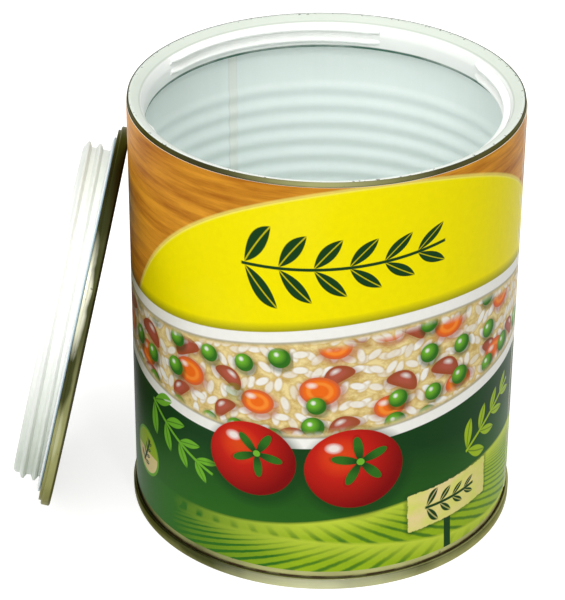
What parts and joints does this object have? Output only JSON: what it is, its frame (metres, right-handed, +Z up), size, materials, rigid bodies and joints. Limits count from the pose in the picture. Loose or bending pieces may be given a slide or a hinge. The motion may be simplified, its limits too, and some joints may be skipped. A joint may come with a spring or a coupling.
{
  "type": "can diversion safe",
  "caption": "Food can that hides a small store: paper label, beaded steel body, threaded white neck ring, and the screw lid from its cut-off top leaning on its side.",
  "frame": {"origin": "on the standing plane, under the middle of the whole part's extent: the open can and the lid leaning on it", "axes": "+Z up, along the can's axis; +X from the leaning lid towards the can; +Y away from the viewer"},
  "size_m": [0.1322, 0.1014, 0.1156],
  "materials": {
    "lacquered_tinplate": "satin",
    "bare_tinplate": "satin",
    "sealing_compound": "matte",
    "printed_paper": "gloss",
    "white_plastic": "satin",
    "washer_foam": "matte"
  },
  "bodies": {
    "can": {"can_body": "lacquered_tinplate", "bottom_end": "bare_tinplate", "bottom_seam_compound": "sealing_compound", "paper_label": "printed_paper", "neck_ring": "white_plastic"},
    "washer": {"lid_washer": "washer_foam"},
    "lid": {"lid_end": "bare_tinplate", "lid_seam_stub": "bare_tinplate", "lid_seam_compound": "sealing_compound", "lid_plug": "white_plastic"}
  },
  "joints": [
    {"name": "lid_swing", "type": "hinge", "parent": "can", "child": "washer", "pos_m": [-0.04301, 0, 0.10864], "axis": [0, 1, 0], "range_deg": [0, 257.3]},
    {"name": "lid_turn", "type": "hinge", "parent": "washer", "child": "lid", "pos_m": [-0.04575, 0, 0.04933], "axis": [0.9755, 0, -0.2198], "range_deg": [0, 360]}
  ]
}
